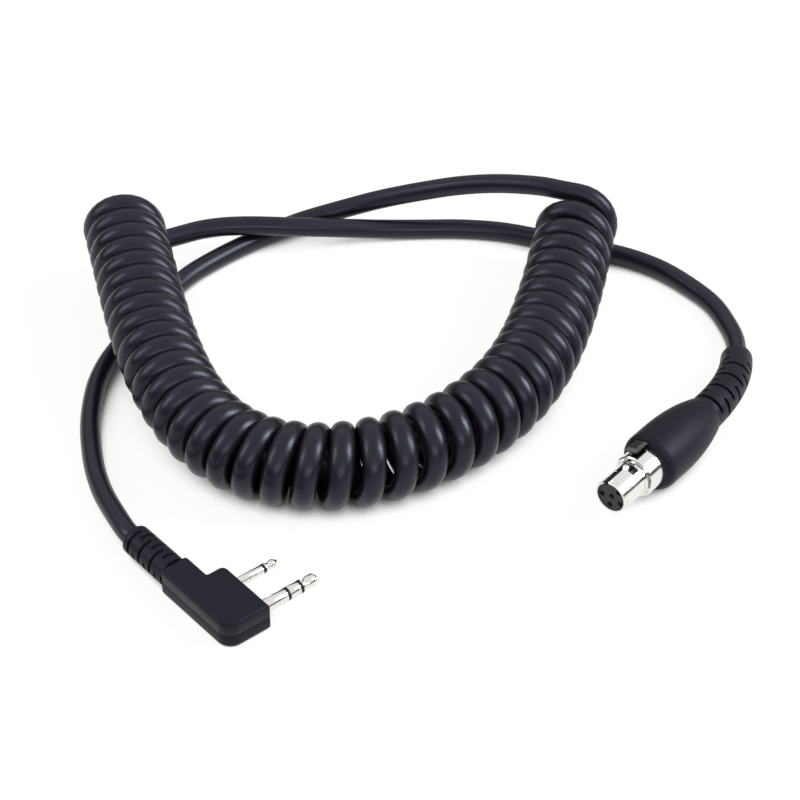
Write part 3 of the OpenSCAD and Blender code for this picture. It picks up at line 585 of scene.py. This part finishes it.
def tip_profile(radius, front, length):
    """Profile of a contact tip: a land, a waist and a blunt conical head."""
    back = front - length + INSULATOR_W
    head = back + HEAD_AT
    cone = front - CONE_LEN
    profile = [(back, NECK_R), (back, radius - EDGE), (back + EDGE, radius), (back + TIP_LAND, radius)]
    profile += [(back + run, share * radius) for run, share in TIP_WAIST]
    return profile + [
        (head - EDGE, HEAD_EDGE_SHARE * radius), (head + EDGE, HEAD_SHARE * radius),
        (cone - EDGE, HEAD_SHARE * radius), (cone + EDGE, HEAD_EDGE_SHARE * radius),
        (front - EDGE, CONE_END_SHARE * radius), (front, POINT_SHARE * radius),
    ]


def pin_piece(node, profile, side, closed=True):
    """Turned piece that stands for a node of a pin; closed says that its profile runs round a bore."""
    new_piece(node + "_turned", skin(lathe(profile, on_pin(side)), closed), nickel_pin, "plated_brass", node)


big_sleeve_end = BIG_PIN_LEN - BIG_RING_LEN
big_ring_end = BIG_PIN_LEN - BIG_TIP_LEN
small_sleeve_end = SMALL_PIN_LEN - SMALL_TIP_LEN
pin_piece("big_jack_sleeve", sleeve_profile(BIG_PIN_R, big_sleeve_end), -1)
pin_piece("big_jack_ring", turned_band(big_sleeve_end + INSULATOR_W, big_ring_end, BIG_PIN_R), -1)
pin_piece("big_jack_tip", tip_profile(BIG_PIN_R, BIG_PIN_LEN, BIG_TIP_LEN), -1, closed=False)
pin_piece("small_jack_sleeve", sleeve_profile(SMALL_PIN_R, small_sleeve_end), 1)
pin_piece("small_jack_tip", tip_profile(SMALL_PIN_R, SMALL_PIN_LEN, SMALL_TIP_LEN), 1, closed=False)

# ---- strain reliefs and grip ----

# Strain reliefs: a tapered sleeve whose surface dips into slots that alternate a quarter turn
SLOT_W = 0.9
SLOT_EDGE = 0.12
SLOT_WALL = 0.75
SLOT_FLOOR = CORD_D / 2 + SLOT_WALL
# Degrees over which a slot rises to the bridge at either of its ends
SLOT_FADE = 5
PLUG_SLOTS = 6
PLUG_SLOT_FIRST = 2.6
PLUG_SLOT_STEP = 2.3
PLUG_SLOT_ROLL = 40
PLUG_BRIDGE = 4.2
CONNECTOR_SLOTS = 8
CONNECTOR_SLOT_FIRST = 2.2
CONNECTOR_SLOT_STEP = 3.1
CONNECTOR_SLOT_ROLL = 120
CONNECTOR_BRIDGE = 5
BOOT_SIDES = 144
BOOT_ANGLES = [360 * j / BOOT_SIDES for j in range(BOOT_SIDES)]
BOOT_CHAMFER = 0.7
CHAMFER_STEPS = 6
# Rings lie this far apart, and closer by both walls of a slot, at these distances from its middle
RING_STEP = 0.5
WALL_RINGS = (0.39, 0.42, 0.45, 0.48, 0.51, 0.55, 0.7)


def slot_depth(x, angle, radius, slots, bridge):
    """How deep the slots cut at a place along the sleeve and an angle round it."""
    half_angle = math.degrees(math.acos(bridge / 2 / radius))
    depth = 0
    for middle, roll in slots:
        across = abs(x - middle)
        if across < SLOT_W:
            wall = 1 - smooth((across - SLOT_W / 2 + SLOT_EDGE / 2) / SLOT_EDGE)
            off = abs((angle - roll + 90) % 180 - 90)
            reach = smooth((half_angle - off) / SLOT_FADE)
            depth = max(depth, (radius - SLOT_FLOOR) * wall * reach)
    return depth


def relief(length, start_d, end_d, slots, bridge, place):
    """Rings of a strain relief; place turns a run, a radius and an angle into a point."""
    runs = {round(i * RING_STEP, 3) for i in range(int(length / RING_STEP) + 1)}
    for middle, _ in slots:
        for away in WALL_RINGS:
            runs |= {round(middle - away, 3), round(middle + away, 3)}
    rings = []
    for x in sorted(runs):
        if x <= length - BOOT_CHAMFER:
            radius = (start_d + (end_d - start_d) * x / length) / 2
            rings.append([
                place(x, radius - slot_depth(x, angle, radius, slots, bridge), angle) for angle in BOOT_ANGLES
            ])
    for k in range(1, CHAMFER_STEPS + 1):
        a = math.pi / 2 * k / CHAMFER_STEPS
        x = length - BOOT_CHAMFER + BOOT_CHAMFER * math.sin(a)
        radius = end_d / 2 - BOOT_CHAMFER * (1 - math.cos(a))
        rings.append([place(x, radius, angle) for angle in BOOT_ANGLES])
    rings.append([place(length, CORD_D / 2, angle) for angle in BOOT_ANGLES])
    return rings


def on_plug_boot(x, radius, degrees):
    """Place on the plug's straight strain relief."""
    a = math.radians(degrees)
    return from_plug((BOOT_X - radius * math.cos(a), ARM_END + x, BOOT_Z + radius * math.sin(a)))


def on_connector_boot(x, radius, degrees):
    """Place on the connector's bent strain relief."""
    a = math.radians(degrees)
    bend = x / BOOT_R
    droop = Matrix.Rotation(math.radians(-BOOT_DROOP), 3, "X")
    middle = Vector((BOOT_R * math.sin(bend), BOOT_R * (1 - math.cos(bend)), 0))
    side = Vector((-math.sin(bend), math.cos(bend), 0))
    offset = middle + radius * (math.cos(a) * side + math.sin(a) * UP)
    return from_nose(Vector((GRIP_END, 0, 0)) + droop @ offset)


plug_slots = [
    (PLUG_BOOT_LEN - PLUG_SLOT_FIRST - PLUG_SLOT_STEP * i, PLUG_SLOT_ROLL + 90 * (i % 2))
    for i in range(PLUG_SLOTS)
]
connector_slots = [
    (CONNECTOR_SLOT_FIRST + CONNECTOR_SLOT_STEP * i, CONNECTOR_SLOT_ROLL + 90 * (i % 2))
    for i in range(CONNECTOR_SLOTS)
]
plug_rings = relief(PLUG_BOOT_LEN, PLUG_BOOT_D, PLUG_BOOT_END_D, plug_slots, PLUG_BRIDGE, on_plug_boot)
new_piece("plug_relief", skin(plug_rings), moulded, "moulding", "plug_boot")
connector_rings = relief(
    CONNECTOR_BOOT_LEN, CONNECTOR_BOOT_D, CONNECTOR_BOOT_END_D, connector_slots, CONNECTOR_BRIDGE,
    on_connector_boot,
)
new_piece("connector_relief", skin(connector_rings), moulded, "moulding", "connector_boot")

# Grip: turned, with a notch for the button cut into its front down to the rear shell
GRIP_SIDES = 120
GRIP_FIT = 0.05
GRIP_BORE = REAR_SHELL_D / 2 + GRIP_FIT
NOTCH_SIDES = 12
NOTCH_ANGLE = 90 - LATCH_ROLL
NOTCH_HALF = math.degrees(math.asin(NOTCH_W / GRIP_D))


def grip_radius(x):
    """Radius of the grip: a rounded nose, an even middle and a taper to the tail."""
    if x < GRIP_FRONT + GRIP_NOSE_LEN:
        u = 1 - (x - GRIP_FRONT) / GRIP_NOSE_LEN
        return GRIP_FACE_R + (GRIP_D / 2 - GRIP_FACE_R) * math.sqrt(1 - u * u)
    u = max(0, (x - GRIP_WIDEST) / (GRIP_END - GRIP_WIDEST))
    return GRIP_D / 2 - (GRIP_D - GRIP_TAIL_D) / 2 * u ** GRIP_TAPER


def grip_ring(x, radius, notched):
    """Ring of the grip at a place, dipped to the rear shell inside the notch."""
    span = 360 - 2 * NOTCH_HALF
    angles = [NOTCH_HALF + span * j / GRIP_SIDES for j in range(GRIP_SIDES + 1)]
    inside = [NOTCH_HALF * (1 - 2 * j / NOTCH_SIDES) for j in range(NOTCH_SIDES + 1)]
    ring = [(a, radius) for a in angles] + [(a, GRIP_BORE if notched else radius) for a in inside]
    points = []
    for a, r in ring:
        turn = math.radians(NOTCH_ANGLE + a)
        points.append(from_nose((x, r * math.cos(turn), r * math.sin(turn))))
    return points


NOSE_RINGS = 16
BODY_RINGS = 60
# The notch's rear wall stands between two rings this far apart
NOTCH_WALL = 0.01
nose_places = [
    GRIP_FRONT + GRIP_NOSE_LEN * (1 - math.cos(math.pi / 2 * k / NOSE_RINGS)) for k in range(NOSE_RINGS + 1)
]
body_start = GRIP_FRONT + GRIP_NOSE_LEN
body_places = [body_start + (GRIP_END - body_start) * k / BODY_RINGS for k in range(1, BODY_RINGS + 1)]
behind_notch = NOTCH_END + NOTCH_WALL
grip_rings = [grip_ring(GRIP_FRONT, GRIP_BORE, True)]
grip_rings += [grip_ring(x, grip_radius(x), True) for x in nose_places if x < NOTCH_END]
grip_rings.append(grip_ring(NOTCH_END, grip_radius(NOTCH_END), True))
grip_rings.append(grip_ring(behind_notch, grip_radius(NOTCH_END), False))
grip_rings += [
    grip_ring(x, grip_radius(x), False) for x in nose_places + body_places if x > behind_notch + NOTCH_WALL
]
grip_rings.append(grip_ring(GRIP_END, CORD_D / 2, False))
new_piece("grip_moulding", skin(grip_rings), moulded, "moulding", "connector_grip")

# ---- floor, backdrop and light ----

FLOOR_HALF = 3
FLOOR_GLOW = 0.9
FLOOR_SHADE = 0.1
# Painted shadow: ambient occlusion dims the paper's glow beneath the coil, where the turns close over it
# Share of the sky, within this reach, at which the paper is darkest and at which it is fully bright
SHADOW_REACH = 0.03
CLOSED_IN = 0.12
OPEN_SKY = 0.4
DARKEST_GLOW = 0.02


def studio_white():
    """Pale paper: it shows near white to the camera and in gloss, and keeps a faint shadow; ambient occlusion
    also dims its glow as a painted shadow.
    """
    material, tree = new_material("studio_paper")
    path = add(tree, "LightPath")
    seen = add(tree, "Math", {
        0: path.outputs["Is Camera Ray"], 1: path.outputs["Is Glossy Ray"],
    }, operation="MAXIMUM")
    seen = add(tree, "Math", {
        0: seen.outputs[0], 1: path.outputs["Is Transmission Ray"],
    }, operation="MAXIMUM")
    plain = add(tree, "BsdfDiffuse", {"Color": (0.5, 0.5, 0.5, 1)})
    faint = add(tree, "BsdfDiffuse", {"Color": (FLOOR_SHADE, FLOOR_SHADE, FLOOR_SHADE, 1)})
    # Painted shadow: the glow drops where ambient occlusion finds the paper closed in by the coil
    painted_shadow_ao = add(tree, "AmbientOcclusion", {"Distance": SHADOW_REACH}, samples=16)
    strength = add(tree, "MapRange", {
        "Value": painted_shadow_ao.outputs["AO"], "From Min": CLOSED_IN, "From Max": OPEN_SKY,
        "To Min": DARKEST_GLOW, "To Max": FLOOR_GLOW,
    })
    glow = add(tree, "Emission", {"Color": (1, 1, 1, 1), "Strength": strength.outputs["Result"]})
    lit = add(tree, "AddShader", {0: faint.outputs[0], 1: glow.outputs[0]})
    both = add(tree, "MixShader", {0: seen.outputs[0], 1: plain.outputs[0], 2: lit.outputs[0]})
    add(tree, "OutputMaterial", {"Surface": both.outputs[0]})
    return material


paper = studio_white()
floor_mesh = bmesh.new()
around = ((-1, -1), (1, -1), (1, 1), (-1, 1))
floor_mesh.faces.new([floor_mesh.verts.new((FLOOR_HALF * x, FLOOR_HALF * y, 0)) for x, y in around])
floor_data = bpy.data.meshes.new("floor")
floor_mesh.to_mesh(floor_data)
floor_mesh.free()
floor_data.materials.append(paper)
floor = bpy.data.objects.new("floor", floor_data)
scene.collection.objects.link(floor)


def softbox(name, at, aim, size, power):
    """Rectangular area light at a place, turned to a point."""
    light = bpy.data.lights.new(name, "AREA")
    light.shape = "RECTANGLE"
    light.size, light.size_y = size
    light.energy = power
    lamp = bpy.data.objects.new(name, light)
    lamp.location = at
    lamp.rotation_euler = (Vector(aim) - Vector(at)).to_track_quat("-Z", "Y").to_euler()
    scene.collection.objects.link(lamp)


COIL_MIDDLE = (0, 0.04, 0)
softbox("key_light", (0.85, 0.05, 0.6), COIL_MIDDLE, (0.35, 0.6), 9)
softbox("fill_light", (-0.85, 0.0, 0.55), COIL_MIDDLE, (0.3, 0.6), 2.5)
softbox("front_light", (0.1, -1.1, 0.5), COIL_MIDDLE, (0.9, 0.3), 3)

world = bpy.data.worlds.new("studio")
world.use_nodes = True
scene.world = world
sky = world.node_tree
sky.nodes.clear()
path = add(sky, "LightPath")
# A tent of white cloth with a dark gap above the table, which draws thin dark lines on the plating
aim = add(sky, "SeparateXYZ", {0: add(sky, "TexCoord").outputs["Generated"]})
cloth = add(sky, "MapRange", {
    "Value": aim.outputs["Z"], "From Min": 0.2, "From Max": 0.45, "To Min": 0.02, "To Max": 0.9,
}, interpolation_type="SMOOTHSTEP")
dim = add(sky, "Background", {"Color": (1, 1, 1, 1), "Strength": cloth.outputs["Result"]})
white = add(sky, "Background", {"Color": (1, 1, 1, 1), "Strength": 1.0})
mix = add(sky, "MixShader", {0: path.outputs["Is Camera Ray"], 1: dim.outputs[0], 2: white.outputs[0]})
add(sky, "OutputWorld", {"Surface": mix.outputs[0]})

scene.view_settings.view_transform = "Standard"
